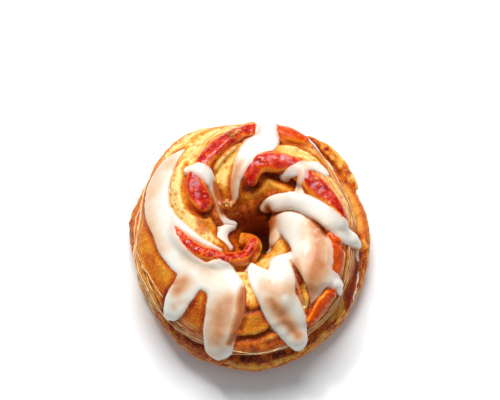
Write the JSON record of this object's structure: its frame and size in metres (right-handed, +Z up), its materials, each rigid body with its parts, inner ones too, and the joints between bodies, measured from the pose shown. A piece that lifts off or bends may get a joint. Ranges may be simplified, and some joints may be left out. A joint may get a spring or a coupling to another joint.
{
  "type": "danish pastry",
  "caption": "Ring-shaped danish pastry in two tiers of golden dough round an open hole, twisted, with strips of red jam and dripping white icing.",
  "frame": {"origin": "middle of the pastry's box, at the height of the surface it stands on", "axes": "+Z up through the hole; -Y towards the side nearest the camera, where the three widest runs of icing end; +X to that side's right"},
  "size_m": [0.1116, 0.1176, 0.0464],
  "materials": {
    "dough": null,
    "jam": null,
    "icing": null
  },
  "bodies": {
    "root": {"dough": "dough", "jam_back": "jam", "jam_right": "jam", "jam_left": "jam", "jam_front_right": "jam", "jam_rim": "jam", "jam_back_rim": "jam", "icing_left": "icing", "icing_back": "icing", "icing_hole": "icing", "icing_right": "icing", "icing_front": "icing", "icing_curl": "icing"}
  },
  "joints": []
}
